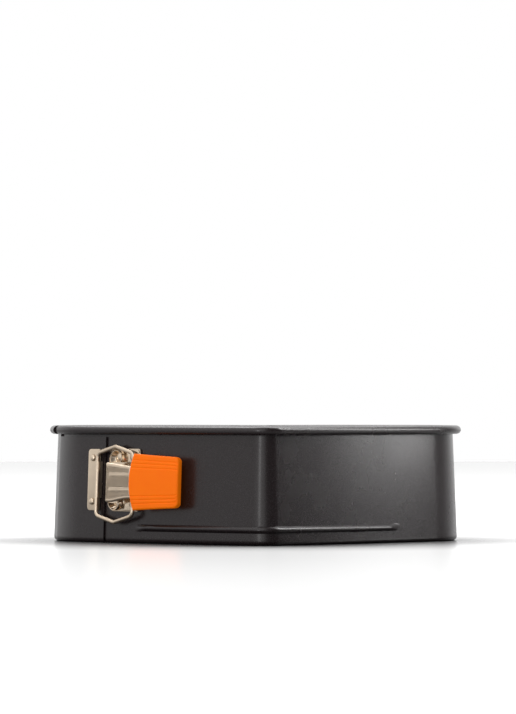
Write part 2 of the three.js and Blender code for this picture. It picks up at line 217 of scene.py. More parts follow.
def rampNode(nodes, links, source, stops):
    ramp = nodes.new("ShaderNodeValToRGB")
    elements = ramp.color_ramp.elements
    while len(elements) < len(stops):
        elements.new(0.5)
    for element, (position, color) in zip(elements, stops):
        element.position = position
        element.color = (*color, 1) if len(color) == 3 else (color[0], color[0], color[0], 1)
    links.new(source, ramp.inputs["Fac"])
    return ramp.outputs["Color"]


def rangeNode(nodes, links, source, low, high, fromLow=0.3, fromHigh=0.7):
    mapRange = nodes.new("ShaderNodeMapRange")
    mapRange.inputs["From Min"].default_value = fromLow
    mapRange.inputs["From Max"].default_value = fromHigh
    mapRange.inputs["To Min"].default_value = low
    mapRange.inputs["To Max"].default_value = high
    links.new(source, mapRange.inputs["Value"])
    return mapRange.outputs["Result"]


def bumpNode(nodes, links, height, distance, strength=1.0, before=None):
    bump = nodes.new("ShaderNodeBump")
    bump.inputs["Strength"].default_value = strength
    bump.inputs["Distance"].default_value = distance
    links.new(height, bump.inputs["Height"])
    if before:
        links.new(before, bump.inputs["Normal"])
    return bump.outputs["Normal"]


coatSettings = {
    "ground": (0.0135, 0.0076, 0.0085),
    "fleck": (0.03, 0.026, 0.027),
    "fleckScale": 3200,
    "roughness": (0.23, 0.29),
    "smudgeScale": 26,
    "grainScale": 1500,
    "grainDepth": 0.00002,
    "glint": 0.35,
}


# charcoal non-stick coat: satin, with a fine metal fleck and faint smudges
def nonStickCoat():
    material, nodes, links, shader = newMaterial("nonStickCoat")
    space = objectSpace(nodes, links)
    cells = nodes.new("ShaderNodeTexVoronoi")
    cells.inputs["Scale"].default_value = coatSettings["fleckScale"]
    links.new(space, cells.inputs["Vector"])
    tone = nodes.new("ShaderNodeSeparateColor")
    links.new(cells.outputs["Color"], tone.inputs["Color"])
    ground, fleck = coatSettings["ground"], coatSettings["fleck"]
    color = rampNode(nodes, links, tone.outputs["Red"], [(0.0, ground), (0.7, ground), (1.0, fleck)])
    links.new(color, shader.inputs["Base Color"])
    glint = rangeNode(nodes, links, tone.outputs["Green"], 0.0, coatSettings["glint"], 0.93, 1.0)
    links.new(glint, shader.inputs["Metallic"])
    smudge = noiseNode(nodes, links, space, coatSettings["smudgeScale"], 4)
    low, high = coatSettings["roughness"]
    links.new(rangeNode(nodes, links, smudge, low, high), shader.inputs["Roughness"])
    grain = noiseNode(nodes, links, space, coatSettings["grainScale"], 2)
    links.new(bumpNode(nodes, links, grain, coatSettings["grainDepth"], 0.5), shader.inputs["Normal"])
    return material


nickelSettings = {
    "tone": (0.74, 0.61, 0.47),
    "shade": (0.68, 0.56, 0.43),
    "satin": (0.3, 0.36),  # roughness of each finish
    "bright": (0.12, 0.19),
    "drawn": (60, 60, 1400),
    "lineDepth": 0.000002,
    "pitScale": 420,
    "pitDepth": 0.000012,
}


# warm nickel plate with faint drawn lines along one direction
def nickelPlate(name, finish):
    material, nodes, links, shader = newMaterial(name)
    space = objectSpace(nodes, links)
    drawn = objectSpace(nodes, links, nickelSettings["drawn"])
    cloud = noiseNode(nodes, links, space, 140, 3)
    color = rampNode(nodes, links, cloud, [(0.35, nickelSettings["shade"]), (0.65, nickelSettings["tone"])])
    links.new(color, shader.inputs["Base Color"])
    shader.inputs["Metallic"].default_value = 1.0
    lines = noiseNode(nodes, links, drawn, 1, 2)
    low, high = nickelSettings[finish]
    links.new(rangeNode(nodes, links, lines, low, high), shader.inputs["Roughness"])
    pits = noiseNode(nodes, links, space, nickelSettings["pitScale"], 3)
    normal = bumpNode(nodes, links, lines, nickelSettings["lineDepth"], 0.3)
    normal = bumpNode(nodes, links, pits, nickelSettings["pitDepth"], 0.3, normal)
    links.new(normal, shader.inputs["Normal"])
    return material


gripSettings = {
    "color": (0.95, 0.15, 0.002),
    "deep": (0.92, 0.13, 0.001),
    "roughness": (0.5, 0.62),
    # painted glow: emission strength and colour that brighten the grip
    "paintedGlow": 0.21,
    "paintedGlowColor": (1.0, 0.24, 0.0, 1),
    "grainScale": 2200,
    "grainDepth": 0.00005,
}


# orange silicone rubber, matt with a fine moulded grain, and a painted glow that brightens its orange
def siliconeRubber():
    material, nodes, links, shader = newMaterial("siliconeRubber")
    space = objectSpace(nodes, links)
    cloud = noiseNode(nodes, links, space, 90, 3)
    color = rampNode(nodes, links, cloud, [(0.3, gripSettings["deep"]), (0.6, gripSettings["color"])])
    links.new(color, shader.inputs["Base Color"])
    low, high = gripSettings["roughness"]
    links.new(rangeNode(nodes, links, cloud, low, high), shader.inputs["Roughness"])
    grain = noiseNode(nodes, links, space, gripSettings["grainScale"], 2)
    links.new(bumpNode(nodes, links, grain, gripSettings["grainDepth"], 0.4), shader.inputs["Normal"])
    shader.inputs["Specular IOR Level"].default_value = 0.14
    shader.inputs["Emission Color"].default_value = gripSettings["paintedGlowColor"]  # painted light: an orange glow that lifts the grip beyond its lighting
    shader.inputs["Emission Strength"].default_value = gripSettings["paintedGlow"]
    shader.inputs["Subsurface Weight"].default_value = 0.06
    shader.inputs["Subsurface Radius"].default_value = (0.002, 0.0008, 0.0003)
    return material


steelSettings = {"dark": (0.3, 0.3, 0.31), "light": (0.46, 0.45, 0.44), "roughness": (0.28, 0.45)}


# plain drawn steel for the wire inside the rim
def drawnSteel():
    material, nodes, links, shader = newMaterial("drawnSteel")
    space = objectSpace(nodes, links, (900, 900, 900))
    lines = noiseNode(nodes, links, space, 1, 2)
    color = rampNode(nodes, links, lines, [(0.3, steelSettings["dark"]), (0.7, steelSettings["light"])])
    links.new(color, shader.inputs["Base Color"])
    low, high = steelSettings["roughness"]
    links.new(rangeNode(nodes, links, lines, low, high), shader.inputs["Roughness"])
    shader.inputs["Metallic"].default_value = 1.0
    return material


coat = nonStickCoat()
nickel = nickelPlate("nickelPlate", "satin")
brightNickel = nickelPlate("brightNickel", "bright")
rubber = siliconeRubber()
wireSteel = drawnSteel()
print("materials made")


def newPiece(name, bm, material, sharp=35, thickness=None):
    mesh = bpy.data.meshes.new(name)
    bm.to_mesh(mesh)
    bm.free()
    piece = bpy.data.objects.new(name, mesh)
    bpy.context.scene.collection.objects.link(piece)
    if thickness:
        shell = piece.modifiers.new("thickness", "SOLIDIFY")
        shell.thickness = thickness
        shell.offset = -1
        shell.use_even_offset = True
        bpy.context.view_layer.update()
        seen = piece.evaluated_get(bpy.context.evaluated_depsgraph_get())
        piece.data = bpy.data.meshes.new_from_object(seen)
        piece.modifiers.clear()
        piece.data.name = name
    piece.data.polygons.foreach_set("use_smooth", [True] * len(piece.data.polygons))
    piece.data.set_sharp_from_angle(angle=math.radians(sharp))
    piece.data.materials.clear()
    piece.data.materials.append(material)
    return piece


# the ring: one sheet with a lip at the table, a pressed bead by the tip and a rolled rim

ring = {
    "sheet": 0.8 * mm,
    "lip": 2.8 * mm,
    "height": 70 * mm,
    "rollHigh": 2.6 * mm,
    "rollWide": 2.95 * mm,
    "rollTurn": math.radians(295),
    "beadLow": 7.2 * mm,
    "beadHigh": 11.4 * mm,
    "beadDepth": 1.6 * mm,
    "beadReach": (103 * mm, 116 * mm),  # left and right of the tip
    "beadFade": 11 * mm,
    "seam": 128.7 * mm,
    "lapEnd": 175.7 * mm,
    "lapShift": 1.1 * mm,
    "lapJoggle": 5.8 * mm,
    "lapTrim": 3.4 * mm,
    "lapTop": 63.4 * mm,
    "wire": 1.5 * mm,
    "joinBeforeCleft": 40 * mm,
}
rollOffset = ring["rollWide"] - ring["sheet"]
rollHeight = ring["height"] - ring["rollHigh"]


def easeBetween(value):
    value = min(1.0, max(0.0, value))
    return value * value * (3 - 2 * value)


def beadBulge(distance, height):
    share = (height - ring["beadLow"]) / (ring["beadHigh"] - ring["beadLow"])
    if not 0 < share < 1:
        return 0.0
    reach = ring["beadReach"][0 if distance < 0 else 1]
    fade = easeBetween((reach - abs(distance)) / ring["beadFade"])
    return ring["beadDepth"] * fade * math.sin(math.pi * share) ** 0.8


def lapBulge(distance):
    beyond = 2 * halfLength - distance - ring["lapEnd"] - 1.2 * mm
    return ring["lapShift"] * (1 - easeBetween(beyond / ring["lapJoggle"]))


def sheetProfile(bm, distance, bulge, withLip=True, withRoll=True):
    station = placeAt(distance)
    place, outward = station
    if withLip:
        vert = bm.verts.new(place - outward * ring["lip"])
        vert = curlVertex(bm, vert, station, -ring["lip"], ring["lip"], math.radians(90), 7)
        vert = runVertex(bm, vert, station, 0, ring["lapTrim"])
    else:
        vert = bm.verts.new(place + upZ * ring["lapTrim"])
    low, high = ring["beadLow"], ring["beadHigh"]
    aside = 0.5 * mm  # close rows keep the bead's shading off the plain wall
    heights = [low - aside] + [low + (high - low) * i / 14 for i in range(15)] + [high + aside]
    for height in heights + [24 * mm, 37 * mm, 50 * mm, ring["lapTop"]]:
        vert = runVertex(bm, vert, station, 0, height)
    if withRoll:
        inner = ring["rollHigh"] - ring["sheet"]
        before = set(bm.verts)
        vert = runVertex(bm, vert, station, rollOffset - inner, rollHeight)
        curlVertex(bm, vert, station, rollOffset, rollHeight, -ring["rollTurn"], 30)
        stretch = rollOffset / inner
        for curled in set(bm.verts) - before:
            across = (curled.co - place).dot(outward) - rollOffset
            curled.co += outward * across * (stretch - 1)
    for vert in bm.verts:
        vert.co += outward * (leanAt(vert.co.z) + bulge(distance, vert.co.z))


# a stretch of the ring's sheet as one bmesh
def ringStretch(start, end, bulge, marks, withLip=True, withRoll=True):
    bm = bmesh.new()
    sheetProfile(bm, start, bulge, withLip, withRoll)
    walkOutline(bm, bm.verts[:] + bm.edges[:], start, end, bulge, marks)
    return bm


def joinStretches(stretches):
    joined = bmesh.new()
    for bm in stretches:
        carried = bpy.data.meshes.new("carried")
        bm.to_mesh(carried)
        bm.free()
        joined.from_mesh(carried)
        bpy.data.meshes.remove(carried)
    bmesh.ops.remove_doubles(joined, verts=joined.verts, dist=0.02 * mm)
    bmesh.ops.reverse_faces(joined, faces=joined.faces)
    return joined


def fadeMarks(start, length, count=8):
    return [start + length * i / count for i in range(count + 1)]


def makeRingMain():
    (left, right), fade = ring["beadReach"], ring["beadFade"]
    marks = fadeMarks(-left, fade) + fadeMarks(right - fade, fade)
    lap = ringStretch(-ring["lapEnd"], -ring["seam"] + 0.5 * mm, beadBulge, [], withLip=False)
    rest = ringStretch(-ring["seam"] + 0.5 * mm, halfLength - ring["joinBeforeCleft"], beadBulge, marks)
    return newPiece("ring_main", joinStretches([lap, rest]), coat, thickness=ring["sheet"])


def leftBulge(distance, height):
    return lapBulge(distance)


def makeRingLeft():
    lapStart = 2 * halfLength - ring["lapEnd"] - 0.6 * mm
    joggle = fadeMarks(lapStart - 0.6 * mm - ring["lapJoggle"], ring["lapJoggle"])
    body = ringStretch(halfLength - ring["joinBeforeCleft"], lapStart, leftBulge, joggle)
    lap = ringStretch(lapStart, 2 * halfLength - ring["seam"], leftBulge, [], withRoll=False)
    return newPiece("ring_left", joinStretches([body, lap]), coat, thickness=ring["sheet"])


def makeRimWire(name, start, end, bulge):
    bm = bmesh.new()
    place, outward = placeAt(start)
    bmesh.ops.create_circle(bm, segments=14, radius=ring["wire"])
    turned = Matrix((outward, upZ, outward.cross(upZ))).transposed().to_4x4()
    offset = rollOffset + leanAt(rollHeight) + bulge(start, rollHeight)
    turned.translation = place + outward * offset + upZ * rollHeight
    bmesh.ops.transform(bm, matrix=turned, verts=bm.verts)
    first = bm.edges[:]
    joggle = fadeMarks(2 * halfLength - ring["lapEnd"] - 1.2 * mm - ring["lapJoggle"], ring["lapJoggle"])
    last = walkOutline(bm, bm.verts[:] + first, start, end, bulge, joggle)
    for loop in (first, [item for item in last if isinstance(item, bmesh.types.BMEdge)]):
        bmesh.ops.contextual_create(bm, geom=loop)
    bmesh.ops.recalc_face_normals(bm, faces=bm.faces)
    return newPiece(name, bm, wireSteel)


def noBulge(distance, height):
    return 0.0


join = halfLength - ring["joinBeforeCleft"]
ringMain = makeRingMain()
ringLeft = makeRingLeft()
wireMain = makeRimWire("rim_wire_right", -ring["lapEnd"], join, noBulge)
wireLeft = makeRimWire("rim_wire_lap", join, 2 * halfLength - ring["lapEnd"] - 0.6 * mm, leftBulge)
print("ring made")

# base plate: dished panel, step and hemmed rim

base = {
    "rimOffset": -2.1 * mm,
    "rimTop": 9.1 * mm,
    "hem": 1.05 * mm,
    "stepTop": -6.4 * mm,
    "panelEdge": -9.4 * mm,
    "sheet": 0.75 * mm,
    "panelTop": 0.8 * mm,
    # share of the panel's size and rise: two raised rings, with close rows that keep the flats flat
    "rings": [(0.885, 0.0), (0.875, 0.0), (0.845, 0.45), (0.84, 0.45), (0.815, 0.45), (0.81, 0.45),
              (0.78, 0.0), (0.77, 0.0), (0.52, 0.0), (0.51, 0.0), (0.475, 0.4), (0.47, 0.4), (0.44, 0.4),
              (0.435, 0.4), (0.4, 0.0), (0.39, 0.0)],
    "middle": (0, 6 * mm, 0),
}


def makeBasePlate():
    bm = bmesh.new()
    station = placeAt(-halfLength)
    place, outward = station
    centre = base["rimOffset"] - base["hem"]
    middle = base["rimTop"] - base["hem"]
    vert = bm.verts.new(place + outward * centre + upZ * (middle - base["hem"]))
    vert = curlVertex(bm, vert, station, centre, middle, math.radians(180), 10)
    step, edge, top = base["stepTop"], base["panelEdge"], base["panelTop"]
    vert = runVertex(bm, vert, station, step + 0.7 * mm, base["rimTop"])
    vert = curlVertex(bm, vert, station, step + 0.7 * mm, base["rimTop"] - 0.7 * mm, math.radians(70), 4)
    vert = runVertex(bm, vert, station, edge + 0.45 * mm, top + 0.7 * mm)
    vert = runVertex(bm, vert, station, edge + 0.2 * mm, top + 0.2 * mm)
    vert = runVertex(bm, vert, station, edge - 0.3 * mm, top)
    last = walkOutline(bm, bm.verts[:] + bm.edges[:], -halfLength, halfLength)
    bmesh.ops.remove_doubles(bm, verts=bm.verts, dist=0.02 * mm)
    rim = [e for e in bm.edges if e.is_boundary and e.verts[0].co.z < top + 0.01 * mm]
    inner = bmesh.ops.holes_fill(bm, edges=rim, sides=0)["faces"]
    middlePoint = Vector(base["middle"])
    scaled = 1.0
    for share, rise in base["rings"]:
        inset = bmesh.ops.extrude_discrete_faces(bm, faces=inner)
        inner = inset["faces"]
        for vert in inner[0].verts:
            vert.co = middlePoint + (vert.co - middlePoint) * share / scaled
            vert.co.z = top + rise * mm
        scaled = share
    bmesh.ops.recalc_face_normals(bm, faces=bm.faces)
    return newPiece("base_tray", bm, coat, thickness=base["sheet"])


baseTray = makeBasePlate()
print("base plate made")

# the clasp: its own frame has x along the wall away from the tip, y out of it and z up it

hinge = joints["clasp_lever"]
claspUp = -Vector(hinge["axis"]).normalized()
claspAlong = Vector((-claspUp.y, claspUp.x, 0)).normalized()
claspOut = claspUp.cross(claspAlong)
pivotPlace = Vector((20, 5.3, 0)) * mm
leverDropBy = 1.2  # the lever, its pin and the ears sit this much below the bracket's middle
leverDrop = Matrix.Translation((0, 0, -leverDropBy * mm))
claspFrame = Matrix((claspAlong, claspOut, claspUp)).transposed().to_4x4()
claspFrame.translation = Vector(hinge["pos_m"]) - claspFrame.to_3x3() @ pivotPlace
print("clasp frame", [round(v / mm, 3) for v in claspFrame.translation])


def claspPiece(name, bm, material, sharp=35):
    bmesh.ops.transform(bm, matrix=claspFrame, verts=bm.verts)
    return newPiece(name, bm, material, sharp)


# a plate from [x, z] corners with rounded corners and softened edges, between two heights off the wall
def pressPlate(bm, corners, bottom, top, rounding=(), edge=0.18, lean=None):
    verts = [bm.verts.new((x * mm, bottom * mm, z * mm)) for x, z in corners]
    made = set(verts)
    face = bm.faces.new(verts)
    for radius, places in rounding:
        picked = [verts[i] for i in places]
        done = bmesh.ops.bevel(bm, geom=picked, offset=radius * mm, offset_type="OFFSET",
                               affect="VERTICES", segments=6, profile=0.5, material=-1)
        made |= set(done["verts"])
    made = {vert for vert in made if vert.is_valid}
    face = [f for f in bm.faces if all(vert in made for vert in f.verts)][0]
    done = bmesh.ops.extrude_face_region(bm, geom=[face])
    raised = [item for item in done["geom"] if isinstance(item, bmesh.types.BMVert)]
    bmesh.ops.translate(bm, vec=Vector((0, (top - bottom) * mm, 0)), verts=raised)
    made |= set(raised)
    around = [e for e in bm.edges if all(v in made for v in e.verts) and len(e.link_faces) == 2]
    around = [e for e in around if e.calc_face_angle(0) > math.radians(60)]
    done = bmesh.ops.bevel(bm, geom=around, offset=edge * mm, affect="EDGES", segments=2, profile=0.5,
                           material=-1, clamp_overlap=True)
    made = {vert for vert in made if vert.is_valid} | set(done["verts"])
    if lean:
        bmesh.ops.transform(bm, matrix=lean, verts=list(made))
    return list(made)


# spins an [radius, height] profile about an axis through a place
def turnProfile(bm, profile, place, axis="Y", steps=28):
    before = set(bm.verts)
    chain = [bm.verts.new((radius * mm, height * mm, 0)) for radius, height in profile]
    edges = [bm.edges.new(pair) for pair in zip(chain, chain[1:])]
    bmesh.ops.spin(bm, geom=chain + edges, cent=(0, 0, 0), axis=(0, 1, 0), angle=math.tau, steps=steps,
                   use_merge=True)
    made = [vert for vert in bm.verts if vert not in before]
    bmesh.ops.remove_doubles(bm, verts=made, dist=0.004 * mm)
    made = [vert for vert in bm.verts if vert not in before]
    if axis == "Z":
        bmesh.ops.rotate(bm, cent=(0, 0, 0), matrix=Matrix.Rotation(math.radians(90), 3, "X"), verts=made)
    bmesh.ops.translate(bm, vec=Vector(place) * mm, verts=made)
    return made


# cuts a closed solid by a plane, keeps the side its normal points to and closes the cut
def trimPiece(bm, made, place, facing):
    verts = set(made)
    faces = [f for f in bm.faces if all(v in verts for v in f.verts)]
    edges = [e for e in bm.edges if all(v in verts for v in e.verts)]
    done = bmesh.ops.bisect_plane(bm, geom=list(verts) + edges + faces, dist=0.001 * mm,
                                  plane_co=Vector(place) * mm, plane_no=facing, clear_inner=True)
    rims = [item for item in done["geom_cut"] if isinstance(item, bmesh.types.BMEdge)]
    bmesh.ops.holes_fill(bm, edges=rims, sides=0)


bracketSettings = {
    "length": 26.6,
    "half": 18.75,
    "corner": 5.4,
    "windowStart": 13.0,
    "windowHalf": 7.0,
    "bottom": 0.3,
    "top": 1.3,
    "padInner": 9.6,
    "padEnd": 13.2,
    "padRise": 0.7,
    "lobe": [(2.75, -0.6), (2.75, 0.1), (3.1, 0.35), (4.2, 2.5), (4.45, 2.85), (4.75, 2.9), (5.0, 2.6),
             (5.05, 1.9), (5.05, -0.6)],
    "lobes": [(17.9, 13.0, 10.55), (19.1, -13.2, -13.8)],  # centre, and the cut that clears the lever
    "ear": (7.0, 7.8),
    "earRadius": 2.1,
    "rivets": [(5, 13.8), (5, -13.8), (16.4, 13.8), (16.4, -13.8)],
    "rivetHead": (2.75, 1.6),
}


def makeBracket():
    bm = bmesh.new()
    part = bracketSettings
    length, half, start, window = part["length"], part["half"], part["windowStart"], part["windowHalf"]
    low, high = -window - leverDropBy, window - leverDropBy
    corners = [(0, -half), (length, -half), (length, low), (start, low),
               (start, high), (length, high), (length, half), (0, half)]
    rounding = [(part["corner"], (1, 6)), (1.4, (0, 7, 2, 3, 4, 5))]
    pressPlate(bm, corners, part["bottom"], part["top"], rounding)
    padTop = part["top"] + part["padRise"]
    for side in (-1, 1):
        inner, outer = side * part["padInner"], side * (half - 0.5)
        pad = [(0.4, inner), (part["padEnd"], inner), (part["padEnd"], outer), (0.4, outer)]
        pressPlate(bm, pad, part["top"] - 0.3, padTop, [(1.2, (0, 1, 2, 3))], 0.3)
    for x, z, limit in part["lobes"]:
        profile = [(radius, part["top"] + rise) for radius, rise in part["lobe"] + part["lobe"][:1]]
        made = turnProfile(bm, profile, (x, 0, z))
        trimPiece(bm, made, (0, 0, limit), (0, 0, math.copysign(1, z)))
    pivotX, pivotY = pivotPlace.x / mm, pivotPlace.y / mm
    for side in (-1, 1):
        near, far = (side * value for value in part["ear"])
        foot, reach = part["top"] - 0.5, part["earRadius"]
        shape = [(pivotX - 5.6, foot), (pivotX - 0.6, foot), (pivotX - 0.6, pivotY - reach),
                 (pivotX + reach, pivotY - reach), (pivotX + reach, pivotY + reach),
                 (pivotX - reach, pivotY + reach), (pivotX - reach, pivotY - 0.4)]
        made = pressPlate(bm, shape, -max(near, far), -min(near, far), [(2.05, (3, 4, 5))], 0.12)
        bmesh.ops.rotate(bm, cent=(0, 0, 0), matrix=Matrix.Rotation(math.radians(-90), 3, "X"), verts=made)
        bmesh.ops.transform(bm, matrix=leverDrop, verts=made)
    bmesh.ops.recalc_face_normals(bm, faces=bm.faces)
    return claspPiece("clasp_bracket", bm, brightNickel)


# a rivet from its closing head or shank end up to its dome
def domeProfile(seat, radius, height, shankEnd, tail):
    shank, brim = 1.2, 0.12
    turns = [math.radians(angle) for angle in range(0, 90, 10)]
    dome = [(radius * math.cos(turn), seat + height * math.sin(turn) + brim) for turn in turns]
    foot = [(0, shankEnd)]
    if tail:
        foot = [(0, shankEnd - 0.8), (tail - 0.2, shankEnd - 0.8), (tail, shankEnd - 0.6), (tail, shankEnd)]
    neck = [(shank, shankEnd), (shank, seat), (radius - 0.25, seat)]
    return foot + neck + dome + [(0, seat + height + brim)]


def makeRivet(name, place, seat, radius, height, shankEnd, tail):
    bm = bmesh.new()
    x, z = place
    turnProfile(bm, domeProfile(seat, radius, height, shankEnd, tail), (x, 0, z))
    bmesh.ops.recalc_face_normals(bm, faces=bm.faces)
    return claspPiece(name, bm, nickel, 40)


leverSettings = {
    "end": 21.4,
    "shoulder": -0.7,
    "wideHalf": 11.5,
    "narrowHalf": 9.2,
    "bottom": 7.7,
    "sheet": 0.8,
    "tail": -34.0,
    "tailHalf": 8.0,
    "cheek": (8.2, 9.0),
    "crank": (1.9, 4.5),
    "ribs": ((4.9, 0.45), (-3.9, 0.4)),  # place and half width
    "ribRise": 0.15,
    "pin": (1.2, 9.3),
}
tailBend = Matrix.Translation((0.8 * mm, 8.1 * mm, 0)) @ Matrix.Rotation(math.radians(4.2), 4, "Z")
tailBend = tailBend @ Matrix.Translation((-0.8 * mm, -8.1 * mm, 0))


# the tongue's edge along its length: straight above, a swept flare below
def tongueEdge(x, side):
    part = leverSettings
    share = min(1.0, max(0.0, (x - part["shoulder"]) / (part["end"] - part["shoulder"])))
    if side < 0:
        share = easeBetween(share * 1.1) ** 1.5
    return part["narrowHalf"] + (part["wideHalf"] - part["narrowHalf"]) * share


def makeLeverPlate():
    bm = bmesh.new()
    part = leverSettings
    low, high, rows, columns = part["shoulder"] - 4, part["end"], 60, 34
    bmesh.ops.create_grid(bm, x_segments=columns, y_segments=rows, size=0.5)
    for vert in bm.verts:
        x = low + (high - low) * (vert.co.x + 0.5)
        share = 2 * vert.co.y
        half = tongueEdge(x, share)
        rise = sum(max(0.0, 1 - ((share * half - rib) / wide) ** 2) for rib, wide in part["ribs"])
        rise *= part["ribRise"] * easeBetween((part["end"] - 2.6 - x) / 1.6)
        fall = 0.9 * max(0.0, abs(share) - 0.9) ** 2 / 0.01
        vert.co = Vector((x, part["bottom"] + part["sheet"] + rise - fall, share * half)) * mm
    bmesh.ops.solidify(bm, geom=bm.faces[:], thickness=part["sheet"] * mm)
    end, half = part["tail"], part["tailHalf"]
    tail = [(end, -half), (1.8, -half), (1.8, half), (end, half)]
    pressPlate(bm, tail, part["bottom"], part["bottom"] + part["sheet"], [(2.0, (0, 3))], 0.12, tailBend)
    pivotX, pivotY = pivotPlace.x / mm, pivotPlace.y / mm
    crankX, crankY = part["crank"]
    near, far = part["cheek"]
    for side in (-1, 1):
        root = part["bottom"] + 0.4
        shape = [(crankX - 2.4, crankY - 2.4), (crankX + 3.4, crankY - 2.4), (pivotX - 5, pivotY - 2.2),
                 (pivotX + 2.2, pivotY - 2.2), (pivotX + 1.6, root), (crankX - 2.4, root)]
        made = pressPlate(bm, shape, -far, -near, [(3.6, (0, 3)), (2.0, (1, 2))], 0.12)
        bmesh.ops.rotate(bm, cent=(0, 0, 0), matrix=Matrix.Rotation(math.radians(-90), 3, "X"), verts=made)
        bmesh.ops.scale(bm, vec=(1, 1, side), verts=made)
    bmesh.ops.recalc_face_normals(bm, faces=bm.faces)
    bmesh.ops.transform(bm, matrix=leverDrop, verts=bm.verts)
    return claspPiece("clasp_lever", bm, nickel, 30)


def makeLeverPin():
    bm = bmesh.new()
    radius, half = leverSettings["pin"]
    end = [(1.8, half), (1.8, half + 0.45), (1.5, half + 0.75), (0.9, half + 0.9), (0, half + 0.9)]
    profile = [(r, -h) for r, h in reversed(end)] + [(radius, -half), (radius, half)] + end
    turnProfile(bm, profile, (pivotPlace.x / mm, pivotPlace.y / mm, -leverDropBy), "Z")
    bmesh.ops.recalc_face_normals(bm, faces=bm.faces)
    return claspPiece("clasp_pin", bm, nickel)


gripShape = {
    "left": 0.8,
    "right": -38.6,
    "leftHalf": 16.85,
    "rightHalf": 15.0,
    "bottom": 5.9,
    "top": 9.8,
    "bow": 42.0,
    "crown": 0.35,
    "grooves": (8.6, 11.0, 13.2),
    "grooveHalf": 0.42,
    "grooveDepth": 0.34,
    "edge": 1.15,
    "corner": 3.2,
}


# the grip's half height along its length, with rounded corners at the right end
def gripHalf(x):
    part = gripShape
    share = (part["left"] - x) / (part["left"] - part["right"])
    half = part["leftHalf"] + (part["rightHalf"] - part["leftHalf"]) * share
    inside = part["corner"] - (x - part["right"])
    if inside > 0:
        half -= part["corner"] - math.sqrt(max(0.0, part["corner"] ** 2 - inside ** 2))
    return half


def makeGrip():
    bm = bmesh.new()
    part = gripShape
    bmesh.ops.create_grid(bm, x_segments=56, y_segments=150, size=0.5)
    middle = (part["top"] + part["bottom"]) / 2
    thick = (part["top"] - part["bottom"]) / 2
    done = bmesh.ops.duplicate(bm, geom=bm.verts[:] + bm.edges[:] + bm.faces[:])
    lower = {item for item in done["geom"] if isinstance(item, bmesh.types.BMVert)}
    for vert in bm.verts:
        along, share = vert.co.x + 0.5, 2 * vert.co.y
        along = 0.5 - 0.5 * math.cos(math.pi * along)
        share = math.sin(math.pi / 2 * share) * 0.35 + share * 0.65
        x = part["right"] + (part["left"] - part["right"]) * along
        half = gripHalf(x)
        z = share * half
        bowed = part["bow"] - math.sqrt(part["bow"] ** 2 - z * z)
        x -= bowed * along ** 3
        fromEdge = min(half - abs(z), x - part["right"], (part["left"] - bowed) - x + 0.001)
        inside = max(0.0, part["edge"] - max(0.0, fromEdge))
        drop = part["edge"] - math.sqrt(max(0.0, part["edge"] ** 2 - inside ** 2))
        height = thick - drop
        if vert not in lower:
            height += part["crown"] * (1 - share * share)
            for groove in part["grooves"]:
                off = abs(abs(z) - groove * half / part["leftHalf"]) / part["grooveHalf"]
                height -= part["grooveDepth"] * max(0.0, 1 - off * off) * easeBetween(fromEdge / 0.8)
        vert.co = Vector((x, middle + (-height if vert in lower else height), z)) * mm
    bmesh.ops.reverse_faces(bm, faces=[f for f in bm.faces if f.verts[0] in lower])
    rims = [e for e in bm.edges if e.is_boundary]
    bmesh.ops.bridge_loops(bm, edges=rims)
    bmesh.ops.recalc_face_normals(bm, faces=bm.faces)
    bmesh.ops.transform(bm, matrix=leverDrop @ tailBend, verts=bm.verts)
    return claspPiece("clasp_grip", bm, rubber, 50)


loopSettings = {
    "wire": 1.3,
    "length": 32.3,
    "sideHalf": 18.6,
    "apexHalf": 22.7,
    "drop": 2.7,
    "corner": 3.6,
    "crank": (1.9, 4.5),
    "legHeight": 3.65,
}


def edgesOf(items):
    return [item for item in items if isinstance(item, bmesh.types.BMEdge)]


def vertsOf(items):
    return [item for item in items if isinstance(item, bmesh.types.BMVert)]


